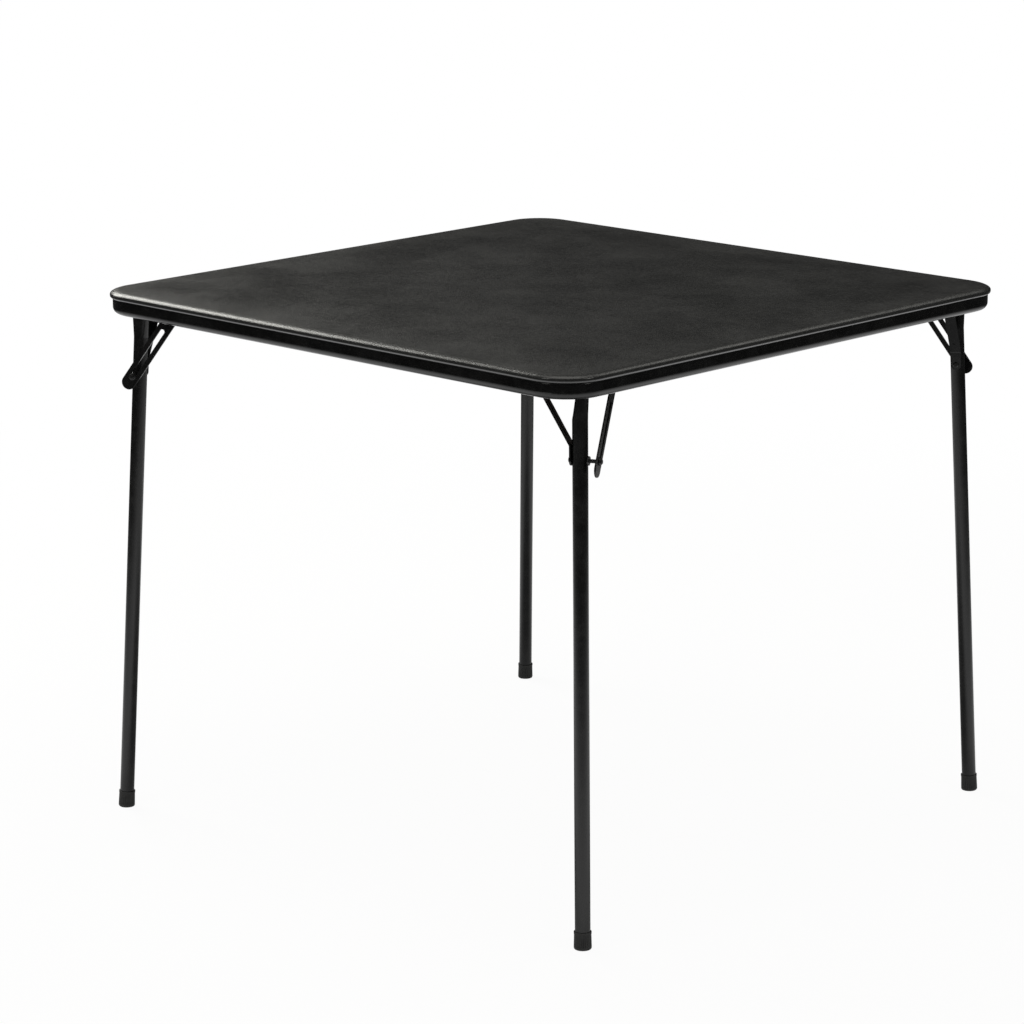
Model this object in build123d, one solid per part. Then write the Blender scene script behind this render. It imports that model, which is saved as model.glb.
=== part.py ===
from build123d import *
import math
import os

# A square folding card table in millimetres, +Z up, standing on z = 0 with its centre over the origin.
# One corner, the one towards +X and -Y, is modelled and turned a quarter turn at a time to make the other three.
os.makedirs("parts", exist_ok=True)

# Whole table
table_height = 711.2
top_side = 858.5
corner_names = ["front_right", "back_right", "back_left", "front_left"]
quarter_turn = 90

# Padded top, from the surface down
cover_thickness = 0.8
foam_thickness = 6.4
panel_thickness = 3.2
pad_corner_radius = 58
pad_upper_round = 5.4
pad_lower_round = 3.0
hem_width = 18
foam_fit = 0.2

# Rolled steel rim under the pad
pad_overhang = 3.5
rim_height = 21
rim_wall = 1.0
rim_flange_width = 20
rim_lip_width = 11
rim_upper_round = 2.4
rim_lower_round = 9

# Where a leg turns: in from the top's square corner along the diagonal, sideways from it, and below the top
pivot_inset = 67
pivot_side = 15.5
pivot_drop = 24.7
fold_turn = 20

# Where the same leg's foot stands on the floor, measured like the pivot
foot_inset = 28.4
foot_side = 19.5

# Leg tube, with its upper end pressed into a flat oval of the same girth, level with the tube on the link's side
tube_diameter = 19.05
tube_wall = 1.2
press_thickness = 13
press_drop = 7
press_run = 31

# Flat brace from the pivot pin to the rivet in the leg, with a groove pressed along its slanting part
brace_width = 14
brace_thickness = 2.2
brace_spread = 45
brace_bend_drop = 69
brace_upper_straight = 9
brace_bend_radius = 4
brace_seat_gap = 0.15
brace_groove_width = 3.6
brace_groove_depth = 0.7
brace_groove_margin = 13
brace_rivet_radius = 3.6

# Stamped bracket in each corner of the rim
bracket_thickness = 2.0
bracket_reach = 160
bracket_arm_width = 18
bracket_edge_gap = 1.6
bracket_corner_round = 6
ear_radius = 7.2
ear_bend_radius = 3.0
ear_brace_gap = 1.6
ear_leg_gap = 3.0
window_gap = 1.0

# Pivot pin through the brace, both ears and the leg
pivot_pin_diameter = 6.0
pin_clearance = 0.08
pin_head_radius = 4.8
pin_head_height = 2.0
pin_head_gap = 0.1

# Slotted lock link and the pin it swings on
link_pivot_inset = 57
link_offset = 25
link_width = 19.6
link_thickness = 2.4
link_edge_round = 0.6
link_tail = 20
slot_width = 6.6
slot_end_play = 0.15
link_pin_diameter = 5.0
link_spacer_radius = 4.6

# Stud through the leg that runs in the link's slot
stud_drop = 86.6
stud_shank_diameter = 5.0
stud_seat_gap = 0.25
stud_flange_radius = 5.6
stud_flange_thickness = 1.6
stud_shaft_diameter = 4.8
stud_head_radius = 5.0
stud_head_height = 2.2
stud_head_round = 1.2
stud_boss_radius = 3.0
stud_boss_height = 1.2
open_pivot_gap = 0.3
slot_clearance = 0.1

# Ribbed cap on the foot
cap_height = 22
cap_floor = 4
cap_upper_radius = 10.6
cap_lower_radius = 11.1
cap_band_height = 2.6
cap_band_rise = 0.3
cap_lower_round = 3
cap_rib_count = 26
cap_groove_depth = 0.45
cap_groove_margin = 1.4
cap_fit = 0.04
cap_sink = 0.8

# Rivets and screws
rivet_diameter = 4.0
rivet_head_radius = 3.8
rivet_head_height = 1.4
rivet_head_round = 1.0
rivet_end_margin = 36
screw_diameter = 3.5
screw_head_radius = 4.0
screw_head_height = 2.0
screw_head_round = 1.2
screw_spread = 330
screw_length = 4.6
hole_clearance = 0.05
cut_overrun = 5

# Heights and sides that follow from the sizes above
pad_height = 2 * cover_thickness + foam_thickness + panel_thickness
pad_bottom = table_height - pad_height
rim_side = top_side - 2 * pad_overhang
rim_corner_radius = pad_corner_radius - pad_overhang
rim_bottom = pad_bottom - rim_height
flange_bottom = pad_bottom - rim_wall
bracket_bottom = flange_bottom - bracket_thickness
pivot_height = table_height - pivot_drop
tube_radius = tube_diameter / 2
pin_radius = pivot_pin_diameter / 2

# The pressed end keeps the tube's girth: a flat oval's straight sides take up what its thinner ends give back
press_straight = math.pi * (tube_diameter - press_thickness) / 2
press_offset = tube_radius - press_thickness / 2
leg_end_radius = (press_straight + press_thickness) / 2

# Lean of a leg: splay swings the foot out in the folding plane, lean tips it along the pivot
half_root = math.sqrt(0.5)
pivot_out = top_side * half_root - pivot_inset
foot_out = top_side * half_root - foot_inset
turn = math.radians(fold_turn)
foot_shift_side = foot_side - pivot_side
foot_shift_out = foot_out - pivot_out
foot_along_pivot = foot_shift_side * math.cos(turn) + foot_shift_out * math.sin(turn)
foot_outward = foot_shift_out * math.cos(turn) - foot_shift_side * math.sin(turn)
splay = math.degrees(math.atan2(foot_outward, pivot_height))
plane_length = math.hypot(foot_outward, pivot_height)
lean = math.degrees(math.atan2(foot_along_pivot, plane_length))
leg_length = math.hypot(foot_along_pivot, plane_length)

# Frames: pivot_frame has +X along the pivot and +Y the way the foot folds in, leg_frame is tipped by the splay,
# and tube_frame has the tube's own axis as Z. All three start at the point where the tube's axis meets the pivot.
pivot_x = (pivot_out + pivot_side) * half_root
pivot_y = (pivot_side - pivot_out) * half_root
pivot_frame = Pos(pivot_x, pivot_y, pivot_height) * Rot(0, 0, quarter_turn / 2 - fold_turn)
leg_frame = pivot_frame * Rot(-splay, 0, 0)
tube_frame = leg_frame * Rot(0, -lean, 0)

# Places along the pivot, from the tube's axis
brace_outer = -brace_spread - brace_thickness / 2
brace_inner = -brace_spread + brace_thickness / 2
near_ear = brace_inner + ear_brace_gap
far_ear = tube_radius + ear_leg_gap
far_ear_end = far_ear + bracket_thickness
link_inner = link_offset - link_thickness / 2
link_outer = link_offset + link_thickness / 2

# Stud and link in the folding plane, in pivot_frame, with the legs open
stud_y = -stud_drop * math.sin(math.radians(splay))
stud_z = -stud_drop * math.cos(math.radians(splay))
stud_reach = math.hypot(stud_y - link_pivot_inset, stud_z)
link_angle = math.degrees(math.atan2(link_pivot_inset - stud_y, -stud_z))
folded_reach = stud_drop - link_pivot_inset
link_frame = pivot_frame * Pos(link_offset, link_pivot_inset, 0) * Rot(-link_angle, 0, 0)


def upright(location, radius, start, end):
    """A round bar along the location's own Z."""
    return location * Pos(0, 0, start) * Cylinder(radius, end - start, align=(Align.CENTER, Align.CENTER, Align.MIN))


def across(location, radius, start, end):
    """A round bar along the location's own X, which is the way every pin and stud lies."""
    return upright(location * Rot(0, 90, 0), radius, start, end)


def domed(location, radius, start, end, round_over):
    """A round head along the location's own X, rounded over at its end."""
    head = upright(Location(), radius, 0, abs(end - start))
    head = fillet(head.edges().sort_by(Axis.Z)[-1], round_over)
    facing = 90 if end > start else -90
    return location * Pos(start, 0, 0) * Rot(0, facing, 0) * head


def slab(side, corner, bottom, height):
    return Pos(0, 0, bottom) * extrude(RectangleRounded(side, side, corner), height)


def soft_slab(side, corner, bottom, height, upper_round, lower_round):
    body = slab(side, corner, bottom, height)
    body = fillet(body.faces().sort_by(Axis.Z)[-1].edges(), upper_round)
    return fillet(body.faces().sort_by(Axis.Z)[0].edges(), lower_round)


def side_prism(location, outline, start, end):
    """Carries an outline, drawn with X inward and Y up, along the pivot."""
    facing = Plane(origin=(start, 0, 0), x_dir=(0, 1, 0), z_dir=(1, 0, 0))
    return location * extrude(facing * outline, end - start)


def rounded_strip(first, last, radius):
    """An upright strip with round ends centred at the heights first and last."""
    ends = Pos(0, first) * Circle(radius) + Pos(0, last) * Circle(radius)
    return ends + Pos(0, (first + last) / 2) * Rectangle(2 * radius, abs(last - first))


def vinyl_cover():
    skin = cover_thickness
    outer = soft_slab(top_side, pad_corner_radius, pad_bottom, pad_height, pad_upper_round, pad_lower_round)
    hollow = soft_slab(
        top_side - 2 * skin,
        pad_corner_radius - skin,
        pad_bottom + skin,
        pad_height - 2 * skin,
        pad_upper_round - skin,
        pad_lower_round - skin,
    )
    mouth = slab(top_side - 2 * hem_width, pad_corner_radius - hem_width, pad_bottom - cut_overrun, 2 * cut_overrun)
    body = outer - hollow - mouth
    for place in screw_places():
        body -= upright(place, screw_diameter / 2 + hole_clearance, rim_bottom, pad_bottom + 2 * skin)
    return body


def inner_side():
    return top_side - 2 * (cover_thickness + foam_fit)


def inner_corner():
    return pad_corner_radius - cover_thickness - foam_fit


def foam_pad():
    bottom = pad_bottom + cover_thickness + panel_thickness
    body = slab(inner_side(), inner_corner(), bottom, foam_thickness)
    return fillet(body.faces().sort_by(Axis.Z)[-1].edges(), pad_upper_round - cover_thickness)


def screw_places():
    inset = rim_side / 2 - rim_flange_width / 2
    places = []
    for k in range(len(corner_names)):
        for side in (-1, 1):
            places.append(Rot(0, 0, quarter_turn * k) * Pos(inset, side * screw_spread / 2, 0))
    return places


def top_panel():
    body = slab(inner_side(), inner_corner(), pad_bottom + cover_thickness, panel_thickness)
    body = fillet(body.faces().sort_by(Axis.Z)[0].edges(), pad_lower_round - cover_thickness)
    for place in screw_places():
        body -= upright(place, screw_diameter / 2 + hole_clearance, pad_bottom, pad_bottom + screw_length)
    return body


def panel_screws():
    screws = []
    for place in screw_places():
        shank = upright(place, screw_diameter / 2, flange_bottom, flange_bottom + screw_length)
        seat = place * Pos(0, 0, flange_bottom)
        screws.append(shank + domed(seat * Rot(0, 90, 0), screw_head_radius, 0, screw_head_height, screw_head_round))
    return Compound(children=screws)


def rivet_places():
    """Two rivets along each arm of the bracket, through the rim's flange: one near its end and one halfway."""
    inset = rim_side / 2 - rim_flange_width / 2
    far = bracket_reach - rivet_end_margin
    places = []
    for along in (far / 2, far):
        places += [Pos(inset, -inset + along, 0), Pos(inset - along, -inset, 0)]
    return places


def rim_frame():
    hollow_side = rim_side - 2 * rim_wall
    body = soft_slab(rim_side, rim_corner_radius, rim_bottom, rim_height, rim_upper_round, rim_lower_round)
    body -= soft_slab(
        hollow_side,
        rim_corner_radius - rim_wall,
        rim_bottom + rim_wall,
        rim_height - 2 * rim_wall,
        rim_upper_round - rim_wall,
        rim_lower_round - rim_wall,
    )
    lip_round = rim_corner_radius - rim_lip_width
    flange_round = rim_corner_radius - rim_flange_width
    body -= slab(rim_side - 2 * rim_lip_width, lip_round, rim_bottom - cut_overrun, rim_height)
    body -= slab(rim_side - 2 * rim_flange_width, flange_round, rim_bottom, rim_height + cut_overrun)
    for place in screw_places():
        body -= upright(place, screw_diameter / 2 + hole_clearance, rim_bottom + cut_overrun, pad_bottom + cut_overrun)
    for k in range(len(corner_names)):
        for place in rivet_places():
            corner = Rot(0, 0, quarter_turn * k) * place
            body -= upright(corner, rivet_diameter / 2 + hole_clearance, rim_bottom + cut_overrun, table_height)
    return body


def bracket_plate():
    edge = rim_side / 2 - rim_wall - bracket_edge_gap
    near = edge - bracket_arm_width
    far = edge - bracket_reach
    outline = Polygon((edge, -edge), (edge, -far), (near, -far), (far, -near), (far, -edge), align=None)
    outer = outline.vertices().sort_by_distance((edge, -edge))[0]
    ends = [corner for corner in outline.vertices() if corner != outer]
    outline = fillet(ends, bracket_corner_round)
    outer = outline.vertices().sort_by_distance((edge, -edge))[0]
    outline = fillet(outer, rim_corner_radius - rim_wall - bracket_edge_gap)
    return Pos(0, 0, bracket_bottom) * extrude(outline, bracket_thickness)


def ear(start, bend_side, tab):
    """An ear bent down from the plate, cut to the outline of its tab. bend_side says which way the bend goes."""
    plate_middle = bracket_bottom + bracket_thickness / 2 - pivot_height
    middle = start + bracket_thickness / 2
    foot = middle + bend_side * (ear_bend_radius + bracket_thickness)
    path = FilletPolyline((foot, plate_middle), (middle, plate_middle), (middle, -ear_radius), radius=ear_bend_radius)
    strip = Plane.XZ * trace(path, bracket_thickness)
    folded = extrude(strip, link_pivot_inset + ear_radius + cut_overrun, both=True)
    reach = ear_bend_radius + bracket_thickness + bracket_thickness
    return pivot_frame * (folded & side_prism(Location(), tab, start - reach, start + bracket_thickness + reach))


def ear_tab(first, last):
    """A rounded tab round the pins at first and last, running up into the plate."""
    top = bracket_bottom + bracket_thickness - pivot_height
    span = last - first
    upper = Pos((first + last) / 2, top / 2) * Rectangle(span + 2 * ear_radius, top)
    lower = Pos(first, 0) * Circle(ear_radius) + Pos(last, 0) * Circle(ear_radius)
    if span > 0:
        lower += Pos((first + last) / 2, 0) * Rectangle(span, 2 * ear_radius)
    return upper + lower


def window(start, end, low, high):
    """The opening in the plate that an ear was bent out of. low and high are its ends the way the leg folds."""
    block = Box(end - start, high - low, 2 * cut_overrun, align=(Align.MIN, Align.MIN, Align.CENTER))
    return pivot_frame * Pos(start, low, bracket_bottom - pivot_height) * block


def corner_bracket():
    body = bracket_plate()
    ear_reach = ear_radius + window_gap
    leg_reach = leg_end_radius + window_gap
    leg_side = press_offset - press_thickness / 2 - window_gap
    body -= window(near_ear + bracket_thickness, near_ear + bracket_thickness + 2 * ear_radius, -ear_reach, ear_reach)
    body -= window(leg_side, far_ear, -leg_reach, link_pivot_inset + ear_reach)
    body += ear(near_ear, -1, ear_tab(0, 0))
    body += ear(far_ear, 1, ear_tab(0, link_pivot_inset))
    body -= across(pivot_frame, pin_radius + pin_clearance, near_ear - cut_overrun, far_ear + cut_overrun)
    link_pivot = pivot_frame * Pos(0, link_pivot_inset, 0)
    body -= across(link_pivot, link_pin_diameter / 2 + pin_clearance, far_ear - cut_overrun, far_ear + cut_overrun)
    for place in rivet_places():
        body -= upright(place, rivet_diameter / 2 + hole_clearance, rim_bottom, pad_bottom)
    return body


def bracket_rivets():
    rivets = []
    for place in rivet_places():
        shank = upright(place, rivet_diameter / 2, bracket_bottom, pad_bottom)
        head = domed(
            place * Pos(0, 0, bracket_bottom) * Rot(0, 90, 0), rivet_head_radius, 0, rivet_head_height, rivet_head_round
        )
        rivets.append(shank + head)
    return Compound(children=rivets)


def pivot_pin():
    start = brace_outer - pin_head_gap
    end = far_ear_end + pin_head_gap
    body = across(pivot_frame, pin_radius, start, end)
    body += domed(pivot_frame, pin_head_radius, start, start - pin_head_height, pin_head_height / 2)
    return body + domed(pivot_frame, pin_head_radius, end, end + pin_head_height, pin_head_height / 2)


def link_pin():
    place = pivot_frame * Pos(0, link_pivot_inset, 0)
    body = across(place, link_pin_diameter / 2, far_ear, link_outer + pin_head_gap)
    body += across(place, link_spacer_radius, far_ear_end, link_inner - pin_head_gap)
    end = link_outer + pin_head_gap
    return body + domed(place, link_spacer_radius, end, end + pin_head_height, pin_head_height / 2)


def flat_oval(inset):
    """The pressed end's outline, seen along the tube: two straight sides joined by half rounds."""
    round_end = press_thickness / 2 - inset
    half = press_straight / 2
    sides = [Line((round_end, -half), (round_end, half)), Line((-round_end, half), (-round_end, -half))]
    far = RadiusArc((round_end, half), (-round_end, half), -round_end)
    near = RadiusArc((-round_end, -half), (round_end, -half), -round_end)
    return Pos(press_offset, 0) * make_face([sides[0], far, sides[1], near])


def girth_circle(inset):
    """The round tube's outline in four arcs that are as long as the flat oval's four edges outside."""
    radius = tube_radius - inset
    spread = math.degrees(press_straight / tube_diameter)
    starts = [-spread, spread, 180 - spread, 180 + spread]
    sweeps = [2 * spread, 180 - 2 * spread, 2 * spread, 180 - 2 * spread]
    return make_face([CenterArc((0, 0), radius, start, sweep) for start, sweep in zip(starts, sweeps)])


def pressed_tube(inset, low, high):
    """The tube's body from low to high along its axis. inset is 0 outside and the wall inside."""
    round_top = -press_drop - press_run
    bar = upright(Location(), tube_radius - inset, low, round_top)
    bar += loft([Pos(0, 0, round_top) * girth_circle(inset), Pos(0, 0, -press_drop) * flat_oval(inset)], ruled=True)
    return bar + Pos(0, 0, -press_drop) * extrude(flat_oval(inset), high + press_drop)


def leg_tube():
    foot_end = -leg_length + cap_floor
    arch = Circle(leg_end_radius) + Pos(0, foot_end / 2) * Rectangle(2 * leg_end_radius, -foot_end)
    body = pressed_tube(0, foot_end, leg_end_radius) & side_prism(Location(), arch, -tube_diameter, tube_diameter)
    body = tube_frame * (body - pressed_tube(tube_wall, foot_end - cut_overrun, leg_end_radius + cut_overrun))
    body -= across(leg_frame, pin_radius + pin_clearance, -tube_diameter, tube_diameter)
    stud_place = leg_frame * Pos(0, 0, -stud_drop)
    return body - across(stud_place, stud_shank_diameter / 2 + hole_clearance, -tube_diameter, tube_diameter)


def tube_side(drop, side):
    """How far along the pivot the tube's side lies at a distance down the leg. side is -1 or 1."""
    return drop * math.tan(math.radians(lean)) + side * tube_radius / math.cos(math.radians(lean))


def brace_strap():
    seat = brace_thickness / 2 + brace_seat_gap
    lower_end = stud_drop + brace_width
    path = FilletPolyline(
        (tube_side(lower_end, -1) - seat, -lower_end),
        (tube_side(brace_bend_drop, -1) - seat, -brace_bend_drop),
        (-brace_spread, -brace_upper_straight),
        (-brace_spread, brace_width),
        radius=brace_bend_radius,
    )
    skins = {}
    for grow in (-2 * brace_groove_depth, 0, 2 * brace_groove_depth):
        skins[grow] = trace(path, brace_thickness + grow)
    strip = Plane.XZ * extrude(skins[0], brace_width, both=True)
    outline = rounded_strip(0, -stud_drop, brace_width / 2)
    body = strip & side_prism(Location(), outline, -2 * brace_spread, 0)
    groove_low = brace_groove_margin - brace_bend_drop
    groove = rounded_strip(-brace_groove_margin, groove_low, brace_groove_width / 2)
    band = side_prism(Location(), groove, -2 * brace_spread, 0)
    outer_skin = (skins[0] - skins[-2 * brace_groove_depth]).faces().sort_by(Axis.X)[0]
    inner_skin = (skins[2 * brace_groove_depth] - skins[0]).faces().sort_by(Axis.X)[-1]
    body -= Plane.XZ * extrude(outer_skin, brace_width, both=True) & band
    body += Plane.XZ * extrude(inner_skin, brace_width, both=True) & band
    body = leg_frame * body
    body -= across(leg_frame, pin_radius + pin_clearance, -2 * brace_spread, 0)
    stud_place = leg_frame * Pos(0, 0, -stud_drop)
    return body - across(stud_place, stud_shank_diameter / 2 + hole_clearance, -2 * brace_spread, 0)


def cross_stud():
    place = leg_frame * Pos(0, 0, -stud_drop)
    start = tube_side(stud_drop, -1) - brace_thickness - 2 * brace_seat_gap
    flange = tube_side(stud_drop, 1) + stud_seat_gap
    body = across(place, stud_shank_diameter / 2, start, flange)
    body += across(place, stud_flange_radius, flange, flange + stud_flange_thickness)
    body += across(place, stud_shaft_diameter / 2, flange, link_inner - open_pivot_gap)
    return body + domed(place, brace_rivet_radius, start, start - stud_head_height, stud_head_round)


def lock_link():
    """A stamped plate in link_frame, which has the link's pivot at its origin and the stud straight below."""
    low = -stud_reach - link_tail + link_width / 2
    plate = rounded_strip(0, low, link_width / 2)
    slot = rounded_strip(-folded_reach + slot_end_play, -stud_reach - slot_end_play, slot_width / 2)
    body = side_prism(Location(), plate, -link_thickness / 2, link_thickness / 2)
    rims = body.faces().sort_by(Axis.X)[-1].edges() + body.faces().sort_by(Axis.X)[0].edges()
    body = fillet(rims, link_edge_round)
    body = link_frame * (body - side_prism(Location(), slot, -link_thickness, link_thickness))
    place = pivot_frame * Pos(0, link_pivot_inset, 0)
    return body - across(place, link_pin_diameter / 2 + pin_clearance, 0, link_offset + tube_diameter)


def slot_head():
    place = pivot_frame * Pos(0, stud_y, stud_z)
    start = link_outer + pin_head_gap
    boss_start = start + stud_head_height
    body = across(place, slot_width / 2 - slot_clearance, link_inner, start)
    body += domed(place, stud_head_radius, start, boss_start, stud_head_round)
    return body + domed(place, stud_boss_radius, boss_start, boss_start + stud_boss_height, stud_boss_height / 2)


def foot_cap():
    """A cup on the tube's end, drawn with its axis upright and its mouth at the top."""
    low = -leg_length - cap_sink
    high = -leg_length + cap_height
    band = high - cap_band_height
    rise = cap_upper_radius + cap_band_rise
    profile = Polygon((0, low), (cap_lower_radius, low), (cap_upper_radius, band), (0, band), align=None)
    corner = profile.vertices().sort_by_distance((cap_lower_radius, low))[0]
    profile = fillet(corner, cap_lower_round)
    body = revolve(Plane.XZ * profile, Axis.Z)
    groove_low = low + cap_lower_round + cap_groove_margin
    groove_height = band - groove_low
    side = cap_groove_depth * math.sqrt(2)
    groove = Rot(0, 0, quarter_turn / 2) * Box(side, side, groove_height, align=(Align.CENTER, Align.CENTER, Align.MIN))
    for place in PolarLocations((cap_upper_radius + cap_lower_radius) / 2, cap_rib_count):
        body -= place * Pos(0, 0, groove_low) * groove
    body += upright(Location(), rise, band, high)
    body -= upright(Location(), tube_radius + cap_fit, -leg_length + cap_floor, high + cut_overrun)
    below = Box(2 * top_side, 2 * top_side, table_height, align=(Align.CENTER, Align.CENTER, Align.MAX))
    return tube_frame * body - below


# The whole top
single = {
    "vinyl_cover": vinyl_cover(),
    "foam_pad": foam_pad(),
    "top_panel": top_panel(),
    "panel_screws": panel_screws(),
    "rim_frame": rim_frame(),
}
for name, body in single.items():
    export_step(body, f"parts/{name}.step")

# What each corner has
repeated = {
    "corner_bracket": corner_bracket(),
    "bracket_rivets": bracket_rivets(),
    "pivot_pin": pivot_pin(),
    "link_pin": link_pin(),
    "leg_tube": leg_tube(),
    "brace_strap": brace_strap(),
    "cross_stud": cross_stud(),
    "lock_link": lock_link(),
    "slot_head": slot_head(),
    "foot_cap": foot_cap(),
}
for name, body in repeated.items():
    for k, corner in enumerate(corner_names):
        export_step(Rot(0, 0, quarter_turn * k) * body, f"parts/{name}_{corner}.step")

print(f"leg {leg_length:.1f} mm long, splayed {splay:.2f} and leaning {lean:.2f} degrees")
print(f"link swings {link_angle + quarter_turn:.2f} degrees while a leg folds {quarter_turn + splay:.2f}")
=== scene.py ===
import math

import bpy
import numpy as np
from mathutils import Matrix, Vector


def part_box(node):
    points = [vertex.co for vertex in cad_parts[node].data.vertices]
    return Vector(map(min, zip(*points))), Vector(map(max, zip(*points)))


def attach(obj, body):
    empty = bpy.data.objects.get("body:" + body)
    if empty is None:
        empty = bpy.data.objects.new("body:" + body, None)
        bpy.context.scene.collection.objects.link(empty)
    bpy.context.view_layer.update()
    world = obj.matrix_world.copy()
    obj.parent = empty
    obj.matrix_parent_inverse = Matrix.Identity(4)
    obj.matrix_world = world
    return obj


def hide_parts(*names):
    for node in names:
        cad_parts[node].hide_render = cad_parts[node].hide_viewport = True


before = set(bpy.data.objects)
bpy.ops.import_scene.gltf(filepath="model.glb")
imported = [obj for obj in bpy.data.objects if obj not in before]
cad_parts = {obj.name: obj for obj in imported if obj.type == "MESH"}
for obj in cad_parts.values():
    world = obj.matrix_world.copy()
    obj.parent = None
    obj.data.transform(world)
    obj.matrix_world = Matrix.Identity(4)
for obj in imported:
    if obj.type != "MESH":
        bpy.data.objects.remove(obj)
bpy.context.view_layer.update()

corners = ["front_right", "back_right", "back_left", "front_left"]
print("frame loaded:", len(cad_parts), "nodes")


class Wire:
    # an output socket of a node sheet; arithmetic on it adds Math nodes
    def __init__(self, sheet, socket):
        self.sheet = sheet
        self.socket = socket

    def join(self, operation, first, second):
        return self.sheet.node("ShaderNodeMath", {"operation": operation}, {0: first, 1: second})

    def __add__(self, other):
        return self.join("ADD", self, other)

    def __radd__(self, other):
        return self.join("ADD", other, self)

    def __sub__(self, other):
        return self.join("SUBTRACT", self, other)

    def __rsub__(self, other):
        return self.join("SUBTRACT", other, self)

    def __mul__(self, other):
        return self.join("MULTIPLY", self, other)

    def __rmul__(self, other):
        return self.join("MULTIPLY", other, self)

    def size(self):
        return self.join("ABSOLUTE", self, 0)

    def larger(self, other):
        return self.join("MAXIMUM", self, other)

    def sibling(self, output):
        # another output of the same node
        return Wire(self.sheet, self.socket.node.outputs[output])


class Sheet:
    # a node tree that is filled from code
    def __init__(self, tree):
        self.tree = tree
        tree.nodes.clear()

    def node(self, kind, settings=None, values=None, output=0):
        made = self.tree.nodes.new(kind)
        for name, value in (settings or {}).items():
            if name == "stops":
                self.fillRamp(made.color_ramp, value)
            else:
                setattr(made, name, value)
        for name, value in (values or {}).items():
            socket = made.inputs[name]
            if isinstance(value, Wire):
                self.tree.links.new(value.socket, socket)
            else:
                socket.default_value = value
        return Wire(self, made.outputs[output]) if len(made.outputs) else made

    def fillRamp(self, ramp, stops):
        while len(ramp.elements) < len(stops):
            ramp.elements.new(1.0)
        for element, (place, tone) in zip(ramp.elements, stops):
            element.position = place
            element.color = (tone, tone, tone, 1)

    def objectPlace(self):
        return self.node("ShaderNodeTexCoord", output="Object")

    def noise(self, place, scale, detail=2.0, roughness=0.5):
        values = {"Vector": place, "Scale": scale, "Detail": detail, "Roughness": roughness}
        return self.node("ShaderNodeTexNoise", {}, values)

    def ramp(self, value, stops):
        return self.node("ShaderNodeValToRGB", {"stops": stops}, {0: value})

    def fade(self, value, start, end, low=0.0, high=1.0):
        # low up to the start, high from the end on, and a smooth step between them
        values = {"Value": value, "From Min": start, "From Max": end, "To Min": low, "To Max": high}
        return self.node("ShaderNodeMapRange", {"interpolation_type": "SMOOTHSTEP"}, values)

    def mixColour(self, factor, first, second):
        values = {0: factor, 6: first, 7: second}
        return self.node("ShaderNodeMix", {"data_type": "RGBA"}, values, output=2)

    def bump(self, height, distance, strength):
        values = {"Height": height, "Distance": distance, "Strength": strength}
        return self.node("ShaderNodeBump", {}, values)


def newMaterial(name):
    material = bpy.data.materials.new(name)
    material.use_nodes = True
    return material, Sheet(material.node_tree)


def closeMaterial(sheet, values):
    # the shader itself: constants go straight onto its sockets, and only what varies is linked
    shader = sheet.node("ShaderNodeBsdfPrincipled", {}, values)
    sheet.node("ShaderNodeOutputMaterial", {}, {"Surface": shader})


def grey(value):
    # a grey that is very slightly warm
    return (value, value, value * 0.98, 1)


vinylFinish = {
    "base": grey(0.004),
    # the pale tone of the wear patches, which also paints the sheen near the edges
    "paleWearAndSheen": grey(0.028),
    "cloudScale": 9.0,
    "cloudShare": 0.2,
    "cloudDulls": 0.14,
    "flakeScale": 150.0,
    "flakeShare": 0.34,
    "flakeDulls": 0.12,
    # painted edge sheen: where it starts and ends, out from the middle in metres, and its share of
    # the pale tone
    "sheenFrom": 0.33,
    "sheenTo": 0.43,
    "sheenShare": 0.46,
    "grainScale": 420.0,
    "creaseHeight": 0.55,
    "wobbleHeight": 0.6,
    "toothHeight": 0.25,
    "toothDulls": 0.1,
    "grainDepth": 0.00022,
    "grainStrength": 0.9,
    "roughness": 0.4,
    "specular": 0.5,
    "rollTop": 0.7099,
    "rollEnd": 0.7086,
    "rollRoughness": 0.27,
    "rollFlattens": 0.4,
    "sideTop": 0.7062,
    "sideEnd": 0.7042,
    "sideRoughness": 0.16,
    "sideFlattens": 0.8,
    "coatRoughness": 0.1,
}


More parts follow.
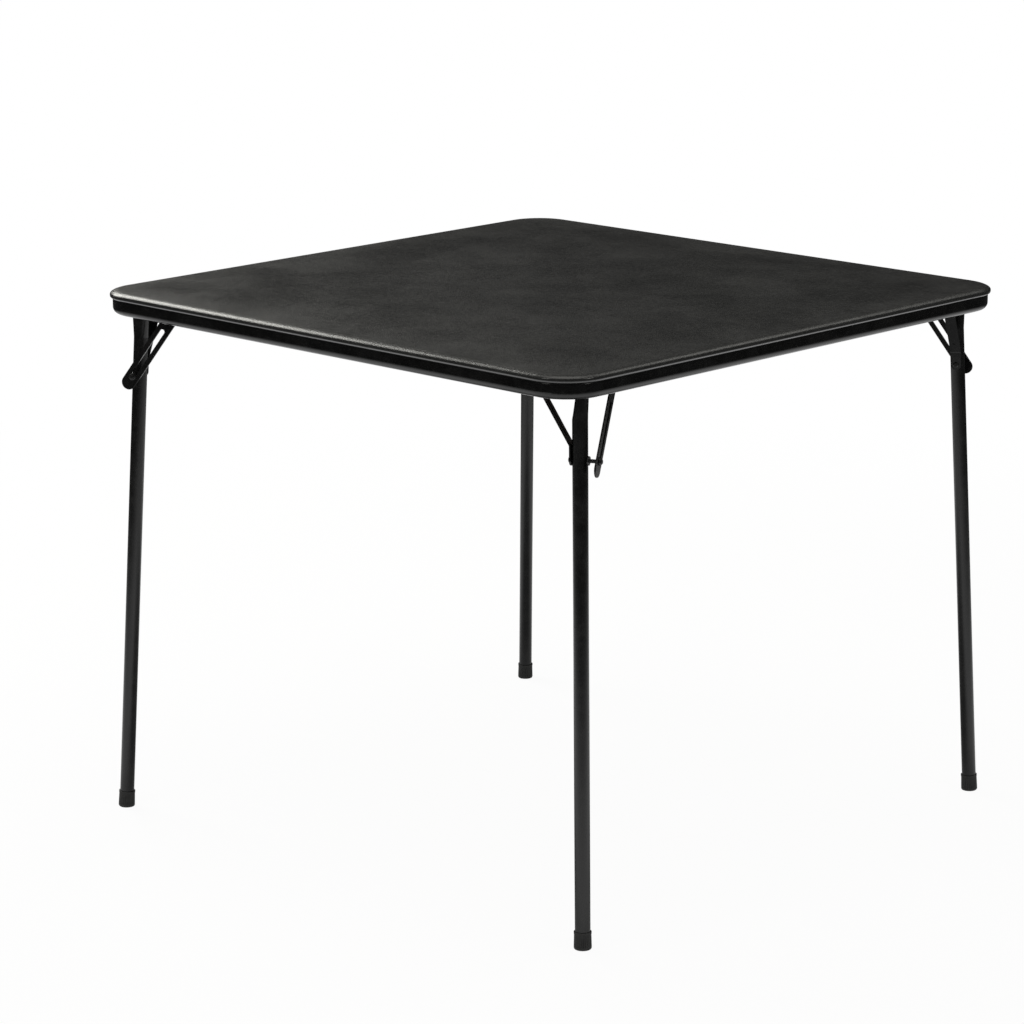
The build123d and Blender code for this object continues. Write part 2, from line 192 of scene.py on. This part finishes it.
def vinylMaterial():
    # Leather grain: the creases between pebbles, a finer tooth on them, and patches of wear, some
    # slow and cloudy and some a few millimetres across. It is also a little paler near the edges: a
    # painted sheen, where the top's edges catch more light. Where it is drawn over the roll it is
    # smoother, and down the side its grain is nearly flat and it shines.
    f = vinylFinish
    material, sheet = newMaterial("black_vinyl_grain")
    place = sheet.objectPlace()
    pebbles = {"Vector": place, "Scale": f["grainScale"]}
    pebble = sheet.node("ShaderNodeTexVoronoi", {"feature": "DISTANCE_TO_EDGE"}, pebbles)
    crease = sheet.ramp(pebble, [(0.0, 0.0), (0.22, 1.0)])
    wobble = sheet.noise(place, f["grainScale"] * 0.35)
    tooth = sheet.noise(place, f["grainScale"] * 2.2, 3.0, 0.6)
    flakes = sheet.noise(place, f["flakeScale"], 5.0, 0.75)
    flake = sheet.ramp(flakes, [(0.34, 0.0), (0.7, 1.0)])
    clouds = sheet.noise(place, f["cloudScale"], 5.0, 0.62)
    cloud = sheet.ramp(clouds, [(0.36, 0.0), (0.68, 1.0)])
    grain = crease * f["creaseHeight"] + wobble * f["wobbleHeight"] + tooth * f["toothHeight"]
    across = sheet.node("ShaderNodeSeparateXYZ", {}, {0: place})
    along, level = across.sibling(1), across.sibling(2)
    # painted sheen: paler towards the top's edges, where they catch more light
    edgeSheen = sheet.fade(across.size().larger(along.size()), f["sheenFrom"], f["sheenTo"])
    rolled = sheet.fade(level, f["rollEnd"], f["rollTop"], 1.0, 0.0)
    tight = sheet.fade(level, f["sideEnd"], f["sideTop"], 1.0, 0.0)
    # the pale tone's share: real wear patches, and the painted sheen near the edges
    wearAndSheen = cloud * f["cloudShare"] + flake * f["flakeShare"] + edgeSheen * f["sheenShare"]
    toothDull = (tooth - 0.5) * f["toothDulls"]
    patchDull = (cloud - 0.5) * f["cloudDulls"] + (flake - 0.5) * f["flakeDulls"]
    dull = f["roughness"] + patchDull + toothDull
    drawn = dull * (1 - rolled) + rolled * (f["rollRoughness"] + toothDull)
    relief = grain * (1 - rolled * f["rollFlattens"]) * (1 - tight * f["sideFlattens"])
    closeMaterial(
        sheet,
        {
            "Base Color": sheet.mixColour(wearAndSheen, f["base"], f["paleWearAndSheen"]),
            "Roughness": drawn * (1 - tight) + tight * f["sideRoughness"],
            "Specular IOR Level": f["specular"],
            "Coat Weight": tight,
            "Coat Roughness": f["coatRoughness"],
            "Normal": sheet.bump(relief, f["grainDepth"], f["grainStrength"]),
        },
    )
    return material


# each sprayed paint: its grey, its roughness and the depth of its orange peel in metres
paints = {
    "rim_gloss_paint": {"base": 0.003, "roughness": 0.14, "peel": 0.00003},
    "leg_satin_paint": {"base": 0.005, "roughness": 0.22, "peel": 0.00004},
    "link_gloss_paint": {"base": 0.004, "roughness": 0.17, "peel": 0.00003},
}
paintWear = {
    "peelScale": 260.0,
    "peelStrength": 0.6,
    "dustScale": 34.0,
    "dustGain": 2.0,
    "dustLift": 0.004,
    "dustDulls": 0.07,
    "rubStretch": (160.0, 160.0, 14.0),
    "rubScale": 6.0,
    "rubDulls": 0.06,
}


def paintMaterial(name):
    # sprayed and baked paint: orange peel in the surface, a little dust, which is paler, and fine
    # rubs along it that change the gloss
    f, paint = paintWear, paints[name]
    material, sheet = newMaterial(name)
    place = sheet.objectPlace()
    peel = sheet.noise(place, f["peelScale"], 2.0, 0.45)
    dust = sheet.ramp(sheet.noise(place, f["dustScale"], 6.0, 0.7), [(0.42, 0.0), (0.75, 1.0)])
    drawn = sheet.node("ShaderNodeMapping", {}, {"Vector": place, "Scale": f["rubStretch"]})
    rubs = sheet.ramp(sheet.noise(drawn, f["rubScale"], 4.0, 0.75), [(0.55, 0.0), (0.72, 1.0)])
    dusty = grey(paint["base"] * f["dustGain"] + f["dustLift"])
    closeMaterial(
        sheet,
        {
            "Base Color": sheet.mixColour(dust, grey(paint["base"]), dusty),
            "Roughness": paint["roughness"] + dust * f["dustDulls"] + rubs * f["rubDulls"],
            "Normal": sheet.bump(peel, paint["peel"], f["peelStrength"]),
        },
    )
    return material


studFinish = {
    "base": grey(0.012),
    "rubbed": grey(0.045),
    "rubScale": 180.0,
    "rubMetal": 0.5,
    "turnScale": 900.0,
    "roughness": 0.13,
    "turnDulls": 0.1,
    "turnDepth": 0.00002,
    "turnStrength": 0.5,
}


def studMaterial():
    # black plated steel with faint turning marks, rubbed to the metal in places
    f = studFinish
    material, sheet = newMaterial("black_plated_stud")
    place = sheet.objectPlace()
    turned = sheet.noise(place, f["turnScale"], 3.0, 0.6)
    rubbed = sheet.ramp(sheet.noise(place, f["rubScale"], 4.0, 0.6), [(0.5, 0.0), (0.8, 1.0)])
    closeMaterial(
        sheet,
        {
            "Base Color": sheet.mixColour(rubbed, f["base"], f["rubbed"]),
            "Metallic": rubbed * f["rubMetal"],
            "Roughness": f["roughness"] + turned * f["turnDulls"],
            "Normal": sheet.bump(turned, f["turnDepth"], f["turnStrength"]),
        },
    )
    return material


zincFinish = {
    "dark": (0.42, 0.43, 0.44, 1),
    "bright": (0.66, 0.67, 0.68, 1),
    "crystalScale": 420.0,
    "filmScale": 90.0,
    "roughness": 0.26,
    "filmDulls": 0.22,
    "crystalDulls": 0.06,
    "filmDepth": 0.00003,
    "filmStrength": 0.5,
}


def zincMaterial():
    # zinc plate: flat grey patches of crystal that differ in tone and gloss
    f = zincFinish
    material, sheet = newMaterial("zinc_plate")
    place = sheet.objectPlace()
    cells = {"Vector": place, "Scale": f["crystalScale"]}
    crystal = sheet.node("ShaderNodeTexVoronoi", {}, cells, output=1)
    patch = sheet.node("ShaderNodeSeparateColor", {}, {0: crystal})
    film = sheet.noise(place, f["filmScale"], 5.0, 0.65)
    closeMaterial(
        sheet,
        {
            "Base Color": sheet.mixColour(patch * 0.5 + film * 0.5, f["dark"], f["bright"]),
            "Metallic": 1.0,
            "Roughness": f["roughness"] + film * f["filmDulls"] + patch * f["crystalDulls"],
            "Normal": sheet.bump(film, f["filmDepth"], f["filmStrength"]),
        },
    )
    return material


rubberFinish = {
    "base": grey(0.018),
    "bloomed": grey(0.034),
    "bloomScale": 120.0,
    "roughness": 0.52,
    "bloomDulls": 0.16,
    "specular": 0.4,
    "skinScale": 1400.0,
    "skinDepth": 0.00004,
    "skinStrength": 0.6,
}


def rubberMaterial():
    # moulded rubber: a fine sanded skin with a little bloom
    f = rubberFinish
    material, sheet = newMaterial("cap_rubber_moulded")
    place = sheet.objectPlace()
    skin = sheet.noise(place, f["skinScale"], 3.0, 0.6)
    bloom = sheet.ramp(sheet.noise(place, f["bloomScale"], 5.0, 0.65), [(0.4, 0.0), (0.75, 1.0)])
    closeMaterial(
        sheet,
        {
            "Base Color": sheet.mixColour(bloom, f["base"], f["bloomed"]),
            "Roughness": f["roughness"] + bloom * f["bloomDulls"],
            "Specular IOR Level": f["specular"],
            "Normal": sheet.bump(skin, f["skinDepth"], f["skinStrength"]),
        },
    )
    return material


boardFinish = {
    "dark": (0.03, 0.018, 0.011, 1),
    "light": (0.07, 0.042, 0.026, 1),
    "fibreStretch": (1.0, 0.35, 1.0),
    "fibreScale": 520.0,
    "patchScale": 14.0,
    "screenScale": 210.0,
    "fibreTone": 0.55,
    "patchTone": 0.35,
    "screenTone": 0.1,
    "roughness": 0.78,
    "fibreShines": 0.12,
    "screenHeight": 0.7,
    "fibreHeight": 0.4,
    "depth": 0.0003,
    "strength": 0.7,
}


def hardboardMaterial():
    # pressed board: short brown fibres, and the woven print of the screen that it was pressed on
    f = boardFinish
    material, sheet = newMaterial("hardboard_screen_back")
    place = sheet.objectPlace()
    drawn = sheet.node("ShaderNodeMapping", {}, {"Vector": place, "Scale": f["fibreStretch"]})
    fibres = sheet.noise(drawn, f["fibreScale"], 5.0, 0.7)
    patches = sheet.noise(place, f["patchScale"], 4.0, 0.6)
    threads = {"Vector": place, "Scale": f["screenScale"]}
    across = sheet.node("ShaderNodeTexWave", {"bands_direction": "X"}, threads)
    along = sheet.node("ShaderNodeTexWave", {"bands_direction": "Y"}, threads)
    screen = across * 0.5 + along * 0.5
    tone = fibres * f["fibreTone"] + patches * f["patchTone"] + screen * f["screenTone"]
    spread = sheet.ramp(tone, [(0.3, 0.0), (0.7, 1.0)])
    relief = screen * f["screenHeight"] + fibres * f["fibreHeight"]
    closeMaterial(
        sheet,
        {
            "Base Color": sheet.mixColour(spread, f["dark"], f["light"]),
            "Roughness": f["roughness"] - fibres * f["fibreShines"],
            "Normal": sheet.bump(relief, f["depth"], f["strength"]),
        },
    )
    return material


foamFinish = {
    "body": (0.62, 0.58, 0.46, 1),
    "cell": (0.4, 0.36, 0.27, 1),
    "cellScale": 1100.0,
    "cellShare": 0.6,
    "tintScale": 20.0,
    "tintShare": 0.4,
    "roughness": 0.95,
    "cellShines": 0.1,
    "cellDepth": 0.0004,
    "cellStrength": 0.7,
}


def foamMaterial():
    # open-cell foam: small dark cells in a cream body
    f = foamFinish
    material, sheet = newMaterial("foam_open_cell")
    place = sheet.objectPlace()
    cells = sheet.node("ShaderNodeTexVoronoi", {}, {"Vector": place, "Scale": f["cellScale"]})
    tint = sheet.noise(place, f["tintScale"], 3.0)
    shade = cells * f["cellShare"] + tint * f["tintShare"]
    closeMaterial(
        sheet,
        {
            "Base Color": sheet.mixColour(shade, f["body"], f["cell"]),
            "Roughness": f["roughness"] - cells * f["cellShines"],
            "Normal": sheet.bump(cells, f["cellDepth"], f["cellStrength"]),
        },
    )
    return material


finishes = {
    "vinyl": vinylMaterial(),
    "foam": foamMaterial(),
    "rim": paintMaterial("rim_gloss_paint"),
    "leg": paintMaterial("leg_satin_paint"),
    "link": paintMaterial("link_gloss_paint"),
    "stud": studMaterial(),
    "zinc": zincMaterial(),
    "rubber": rubberMaterial(),
    "board": hardboardMaterial(),
}
print("materials made:", len(finishes))


# which finish each kind of CAD node wears
nodeFinish = {
    "top_panel": "board",
    "panel_screws": "zinc",
    "rim_frame": "rim",
    "corner_bracket": "link",
    "bracket_rivets": "zinc",
    "pivot_pin": "zinc",
    "link_pin": "zinc",
    "leg_tube": "leg",
    "brace_strap": "link",
    "cross_stud": "stud",
    "lock_link": "link",
    "slot_head": "stud",
    "foot_cap": "rubber",
}


def kindOf(name):
    # a node's name without its corner
    corner = next((c for c in corners if name.endswith("_" + c)), None)
    return name[: -len(corner) - 1] if corner else name


def dressNodes():
    for name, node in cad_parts.items():
        if kindOf(name) not in nodeFinish:
            continue
        material = finishes[nodeFinish[kindOf(name)]]
        if not node.data.materials:
            node.data.materials.append(material)
        for index in range(len(node.data.materials)):
            node.data.materials[index] = material


dressNodes()
print("CAD nodes dressed")


def ringedSquare(halfSides, cornerRadii, heights):
    # A square grid of points, ring by ring. A point's ring is the larger of its two grid indices,
    # and the other index over it says how far along that side of the ring it lies, as a share of
    # the side's length, half of each corner's arc included. Each ring is a rounded square with its
    # own half side, corner radius and height.
    count = len(halfSides) - 1
    index = np.arange(-count, count + 1)
    i, j = np.meshgrid(index, index, indexing="ij")
    ring = np.maximum(abs(i), abs(j))
    half = halfSides[ring]
    radius = np.maximum(cornerRadii[ring], 1e-6)
    onX = abs(i) >= abs(j)
    main = np.where(onX, np.sign(i), np.sign(j))
    share = np.where(onX, j, i) / np.maximum(ring, 1)
    straight = half - radius
    along = abs(share) * (straight + radius * math.pi / 4)
    angle = np.clip((along - straight) / radius, 0, math.pi / 4)
    outward = np.where(along <= straight, half, straight + radius * np.cos(angle))
    sideways = np.where(along <= straight, along, straight + radius * np.sin(angle))
    sideways = sideways * np.sign(share)
    x = np.where(onX, main * outward, sideways)
    y = np.where(onX, sideways, main * outward)
    return np.stack([x, y, heights[ring]], axis=-1)


def gridFaces(rows, columns):
    # the four corners of each cell, turned so that the face looks up where rows run along x and
    # columns along y
    index = np.arange(rows * columns).reshape(rows, columns)
    around = [index[:-1, :-1], index[1:, :-1], index[1:, 1:], index[:-1, 1:]]
    return np.stack(around, axis=-1).reshape(-1, 4)


def meshObject(name, points, faces, material):
    mesh = bpy.data.meshes.new(name)
    mesh.from_pydata(points.reshape(-1, 3).tolist(), [], faces.tolist())
    mesh.polygons.foreach_set("use_smooth", np.ones(len(mesh.polygons), dtype=bool))
    mesh.materials.append(material)
    mesh.update()
    made = bpy.data.objects.new(name, mesh)
    bpy.context.scene.collection.objects.link(made)
    return made


padDip = {"depth": 0.0014, "width": 0.14}


def dipped(half, flat):
    # How far the pad's top lies below its middle: nothing further in than the dip's width, then
    # falling as a square towards the flat top's end, and straight on from there over the roll.
    share = 1 - (flat - half) / padDip["width"]
    return padDip["depth"] * np.where(share < 1, np.maximum(share, 0) ** 2, 2 * share - 1)


cover = {
    "rollWide": 0.0125,
    "rollHigh": 0.0052,
    "lowerRound": 0.003,
    "cornerRadius": 0.058,
    "hem": 0.018,
    "skin": 0.0008,
    "cell": 0.0062,
    "edgeCell": 0.0009,
    "lift": 0.0012,
    "frames": 20,
    "coarseCell": 0.014,
    "coarseEdge": 0.0054,
    "calm": 0.11,
}
coverCloth = {
    "quality": 6,
    "mass": 0.4,
    "tension_stiffness": 30,
    "compression_stiffness": 30,
    "bending_stiffness": 2.0,
    "use_pressure": True,
    "uniform_pressure_force": 4.0,
}


def steps(length, size):
    # equal shares of a length, one for each cell of about the size, up to 1 and without the 0
    return np.linspace(0, 1, max(2, round(length / size) + 1))[1:]


def coverProfile(low, high, cell, edgeCell):
    # Half side and height along the cover from the middle of the top outwards: the flat top, a
    # quarter of an ellipse where the foam rolls over, the side, a small quarter round and the hem
    # under the panel. Each stretch is divided by its cell.
    c = cover
    side = (high.x - low.x) / 2
    flat = side - c["rollWide"]
    half = [np.array([0.0])]
    level = [np.array([high.z])]
    across = steps(flat, cell)
    half.append(flat * across)
    level.append(high.z - dipped(flat * across, flat))
    turn = steps((c["rollWide"] + c["rollHigh"]) * math.pi / 4, edgeCell) * math.pi / 2
    rolled = flat + c["rollWide"] * np.sin(turn)
    half.append(rolled)
    level.append(high.z - dipped(rolled, flat) - c["rollHigh"] * (1 - np.cos(turn)))
    sideTop = level[-1][-1]
    straight = sideTop - low.z - c["lowerRound"]
    wall = steps(straight, edgeCell)
    half.append(np.full(len(wall), side))
    level.append(sideTop - wall * straight)
    turn = steps(c["lowerRound"] * math.pi / 2, edgeCell) * math.pi / 2
    half.append(side - c["lowerRound"] * (1 - np.cos(turn)))
    level.append(low.z + c["lowerRound"] * (1 - np.sin(turn)))
    hem = steps(c["hem"] - c["lowerRound"], cell)
    half.append(side - c["lowerRound"] - hem * (c["hem"] - c["lowerRound"]))
    level.append(np.full(len(hem), low.z))
    half, level = np.concatenate(half), np.concatenate(level)
    firstEdge = len(across)
    inner = (c["cornerRadius"] - c["rollWide"]) * half / flat
    radius = np.where(np.arange(len(half)) <= firstEdge, inner, c["cornerRadius"] - (side - half))
    return half, radius, level, firstEdge


def puffed(low, high):
    # How far air pressure lifts the cover between the pinned rings of its side, on a coarse copy of
    # it, as an array of moves per coarse grid point. No move is longer than the lift.
    c = cover
    half, radius, level, firstEdge = coverProfile(low, high, c["coarseCell"], c["coarseEdge"])
    points = ringedSquare(half, radius, level)
    rows, columns = points.shape[:2]
    sheet = meshObject("cover_trial", points, gridFaces(rows, columns), finishes["vinyl"])
    count = len(half) - 1
    index = np.arange(-count, count + 1)
    ring = np.maximum(abs(index)[:, None], abs(index)[None, :]).ravel()
    pinned = sheet.vertex_groups.new(name="pinned")
    pinned.add(np.flatnonzero(ring > firstEdge + 1).tolist(), 1.0, "REPLACE")
    cloth = sheet.modifiers.new("cloth", "CLOTH")
    for name, value in coverCloth.items():
        setattr(cloth.settings, name, value)
    cloth.settings.vertex_group_mass = "pinned"
    cloth.settings.effector_weights.gravity = 0
    scene = bpy.context.scene
    for number in range(1, c["frames"] + 1):
        scene.frame_set(number)
    evaluated = sheet.evaluated_get(bpy.context.evaluated_depsgraph_get())
    moved = np.zeros(rows * columns * 3, np.float32)
    evaluated.data.vertices.foreach_get("co", moved)
    move = moved.reshape(rows, columns, 3) - points
    scene.frame_set(1)
    bpy.data.objects.remove(sheet)
    size = np.linalg.norm(move, axis=-1, keepdims=True)
    print("cover lifted by up to", round(float(size.max()) * 1000, 2), "mm before its cap")
    return half, firstEdge, move * np.minimum(1, c["lift"] / np.maximum(size, 1e-9))


def stretchedRows(grid, places):
    # straight-line interpolation of each column of a grid of moves at the given fractional rows
    rows = np.arange(grid.shape[0])
    columns = range(grid.shape[1])
    part = [[np.interp(places, rows, grid[:, k, axis]) for k in columns] for axis in range(3)]
    return np.array(part).transpose(2, 1, 0)


def stretched(move, places):
    # the same along the rows, then along the columns
    return stretchedRows(stretchedRows(move, places).transpose(1, 0, 2), places).transpose(1, 0, 2)


def makeCover():
    # The fine grid takes the coarse copy's moves, ring for ring on the top, and they fade out
    # smoothly towards the roll, so that the roll keeps its own shape.
    c = cover
    low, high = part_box("vinyl_cover")
    half, radius, level, firstEdge = coverProfile(low, high, c["cell"], c["edgeCell"])
    points = ringedSquare(half, radius, level)
    coarseHalf, coarseEdge, move = puffed(low, high)
    coarseTop = coarseHalf[: coarseEdge + 1]
    onTop = np.interp(half[: firstEdge + 1], coarseTop, np.arange(coarseEdge + 1))
    beyond = np.linspace(coarseEdge, len(coarseHalf) - 1, len(half) - firstEdge)[1:]
    ring = np.concatenate([onTop, beyond])
    places = len(coarseHalf) - 1 + np.concatenate([-ring[:0:-1], ring])
    share = np.clip((half[firstEdge] - half) / c["calm"], 0, 1)
    share[firstEdge:] = 0
    index = np.arange(-len(half) + 1, len(half))
    own = np.maximum(abs(index)[:, None], abs(index)[None, :])
    smooth = share * share * (3 - 2 * share)
    points = points + stretched(move, places) * smooth[own][..., None]
    piece = meshObject("padded_cover", points, gridFaces(*points.shape[:2]), finishes["vinyl"])
    shell = piece.modifiers.new("skin", "SOLIDIFY")
    shell.thickness = c["skin"]
    shell.offset = -1
    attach(piece, "table_top")
    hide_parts("vinyl_cover")


makeCover()
print("cover made")


foam = {
    "rollWide": 0.0125,
    "rollHigh": 0.0044,
    "rollSteps": 11,
    "cornerRadius": 0.057,
    "cell": 0.02,
    "weldWithin": 0.00001,
}


def makeFoam():
    # a slab that rolls over at its upper edge as the cover does: flat top, quarter of an ellipse,
    # side and flat underside
    f = foam
    low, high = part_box("foam_pad")
    side = (high.x - low.x) / 2
    flat = side - f["rollWide"]
    across = np.linspace(0, 1, round(flat / f["cell"]) + 1)
    turn = np.linspace(0, math.pi / 2, f["rollSteps"])[1:]
    half = np.concatenate([flat * across, flat + f["rollWide"] * np.sin(turn), [side]])
    drop = np.concatenate([0 * across, f["rollHigh"] * (1 - np.cos(turn)), [high.z - low.z]])
    level = np.maximum(high.z - dipped(half, flat) - drop, low.z)
    top = ringedSquare(half, np.minimum(f["cornerRadius"] * half / side, half), level)
    count = top.shape[0]
    under = top.copy()
    under[..., 2] = low.z
    points = np.concatenate([top.reshape(-1, 3), under.reshape(-1, 3)])
    upper = gridFaces(count, count)
    faces = np.concatenate([upper, upper[:, ::-1] + count * count])
    piece = meshObject("foam_slab", points, faces, finishes["foam"])
    weld = piece.modifiers.new("weld", "WELD")
    weld.merge_threshold = f["weldWithin"]
    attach(piece, "table_top")
    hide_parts("foam_pad")


makeFoam()
print("foam made")


white = (1, 1, 1, 1)
floorLook = {
    "half": 30.0,
    "paper": (0.8, 0.8, 0.8, 1),
    "nearWhite": 0.94,
    "whiteFrom": 1.2,
    "whiteTo": 2.6,
    "shade": 0.2,
    "shadeFrom": 0.35,
    "shadeTo": 0.85,
    "nearGlow": 1.1,
    "farGlow": 2.6,
    "dim": 0.04,
}


def makeFloor():
    # A pale sheet. The camera sees it white but for the table's soft shadow. Glossy paint sees it
    # glow, as a lit paper sweep would: a painted pool of light in a wide ring round the table, a
    # painted shadow under the table, and dim further off.
    f = floorLook
    points = np.array([[-1, -1, 0], [1, -1, 0], [1, 1, 0], [-1, 1, 0]], float) * f["half"]
    material, sheet = newMaterial("floor_paper")
    camera = sheet.node("ShaderNodeLightPath")
    mirrored = camera.sibling("Is Glossy Ray") + camera.sibling("Is Transmission Ray")
    measured = {0: sheet.objectPlace()}
    distance = sheet.node("ShaderNodeVectorMath", {"operation": "LENGTH"}, measured, output="Value")
    # painted pool of light for glossy rays: the floor glows bright near the table and dim far off
    paintedPool = sheet.fade(distance, f["nearGlow"], f["farGlow"], 1.0, f["dim"])
    # painted shadow for glossy rays: the glow is dimmed under the table
    shade = sheet.fade(distance, f["shadeFrom"], f["shadeTo"], f["shade"], 1.0)
    whiteness = sheet.fade(distance, f["whiteFrom"], f["whiteTo"], f["nearWhite"], 1.0)
    paper = sheet.node("ShaderNodeBsdfDiffuse", {}, {"Color": f["paper"]})
    strength = camera + mirrored * paintedPool * shade
    glow = sheet.node("ShaderNodeEmission", {}, {"Color": white, "Strength": strength})
    factor = camera * whiteness + mirrored
    mixed = sheet.node("ShaderNodeMixShader", {}, {0: factor, 1: paper, 2: glow})
    sheet.node("ShaderNodeOutputMaterial", {}, {"Surface": mixed})
    floor = meshObject("floor", points, np.array([[0, 1, 2, 3]]), material)


makeFloor()


room = {"ambient": 0.42, "horizon": 0.03, "zenith": 0.08, "fadeFrom": 0.1, "fadeTo": 0.9}


def makeRoom():
    # white to the camera; a dim room that lightens overhead to everything else
    r = room
    world = bpy.data.worlds.new("studio")
    bpy.context.scene.world = world
    world.use_nodes = True
    sheet = Sheet(world.node_tree)
    camera = sheet.node("ShaderNodeLightPath")
    diffuse = camera.sibling("Is Diffuse Ray")
    way = sheet.node("ShaderNodeTexCoord", output="Generated")
    rise = sheet.node("ShaderNodeSeparateXYZ", {}, {0: way}, output=2)
    overhead = sheet.fade(rise, r["fadeFrom"], r["fadeTo"], r["horizon"], r["zenith"])
    strength = camera + (1 - camera) * (diffuse * r["ambient"] + (1 - diffuse) * overhead)
    glow = sheet.node("ShaderNodeBackground", {}, {"Color": white, "Strength": strength})
    sheet.node("ShaderNodeOutputWorld", {}, {"Surface": glow})


makeRoom()


# softboxes: where each hangs, its size in metres and its power in watts; all point at the top
lampTint = (1.0, 0.99, 0.93)
lampAim = (0, 0, 0.7)
lamps = {
    "overhead": {"at": (0.3, -0.3, 3.4), "size": (2.6, 2.6), "power": 40.0},
    "backLeft": {"at": (-2.8, 0.1, 2.4), "size": (1.8, 1.3), "power": 62.0},
    "behind": {"at": (-2.1, 1.95, 2.5), "size": (1.0, 0.8), "power": 0.9},
    "backRight": {"at": (0.3, 2.1, 2.8), "size": (1.4, 1.0), "power": 7.0},
    "frontLeft": {"at": (-0.2, -3.0, 2.3), "size": (0.8, 0.8), "power": 9.0},
    "frontRight": {"at": (3.0, 0.2, 2.3), "size": (0.8, 0.8), "power": 9.0},
}


def makeLamps():
    for name, lamp in lamps.items():
        light = bpy.data.lights.new(name, "AREA")
        light.shape = "RECTANGLE"
        light.size, light.size_y = lamp["size"]
        light.energy = lamp["power"]
        light.color = lampTint
        made = bpy.data.objects.new(name, light)
        made.visible_camera = False
        made.location = lamp["at"]
        way = Vector(lampAim) - Vector(lamp["at"])
        made.rotation_euler = way.to_track_quat("-Z", "Y").to_euler()
        bpy.context.scene.collection.objects.link(made)


makeLamps()
print("floor, room and lamps made")


# the photograph's own view, fitted to the top's corners and the feet: place in metres, angles in
# degrees, lens and sensor in millimetres
viewpoint = {
    "at": (3.152, -3.373, 1.543),
    "yaw": 43.712,
    "down": 13.875,
    "roll": -0.088,
    "lens": 124.35,
    "sensor": 36.0,
}


def makeCamera():
    v = viewpoint
    yaw, down, roll = (math.radians(v[k]) for k in ("yaw", "down", "roll"))
    ahead = Vector((-math.sin(yaw), math.cos(yaw), 0))
    forward = ahead * math.cos(down) - Vector((0, 0, math.sin(down)))
    level = Vector((math.cos(yaw), math.sin(yaw), 0))
    upward = level.cross(forward)
    right = level * math.cos(roll) + upward * math.sin(roll)
    above = upward * math.cos(roll) - level * math.sin(roll)
    data = bpy.data.cameras.new("photo_camera")
    data.lens = v["lens"]
    data.sensor_width = v["sensor"]
    camera = bpy.data.objects.new("photo_camera", data)
    turn = Matrix((right, above, -forward)).transposed().to_4x4()
    camera.matrix_world = Matrix.Translation(v["at"]) @ turn
    bpy.context.scene.collection.objects.link(camera)
    bpy.context.scene.camera = camera


makeCamera()
bpy.context.scene.view_settings.view_transform = "Standard"
print("camera set")
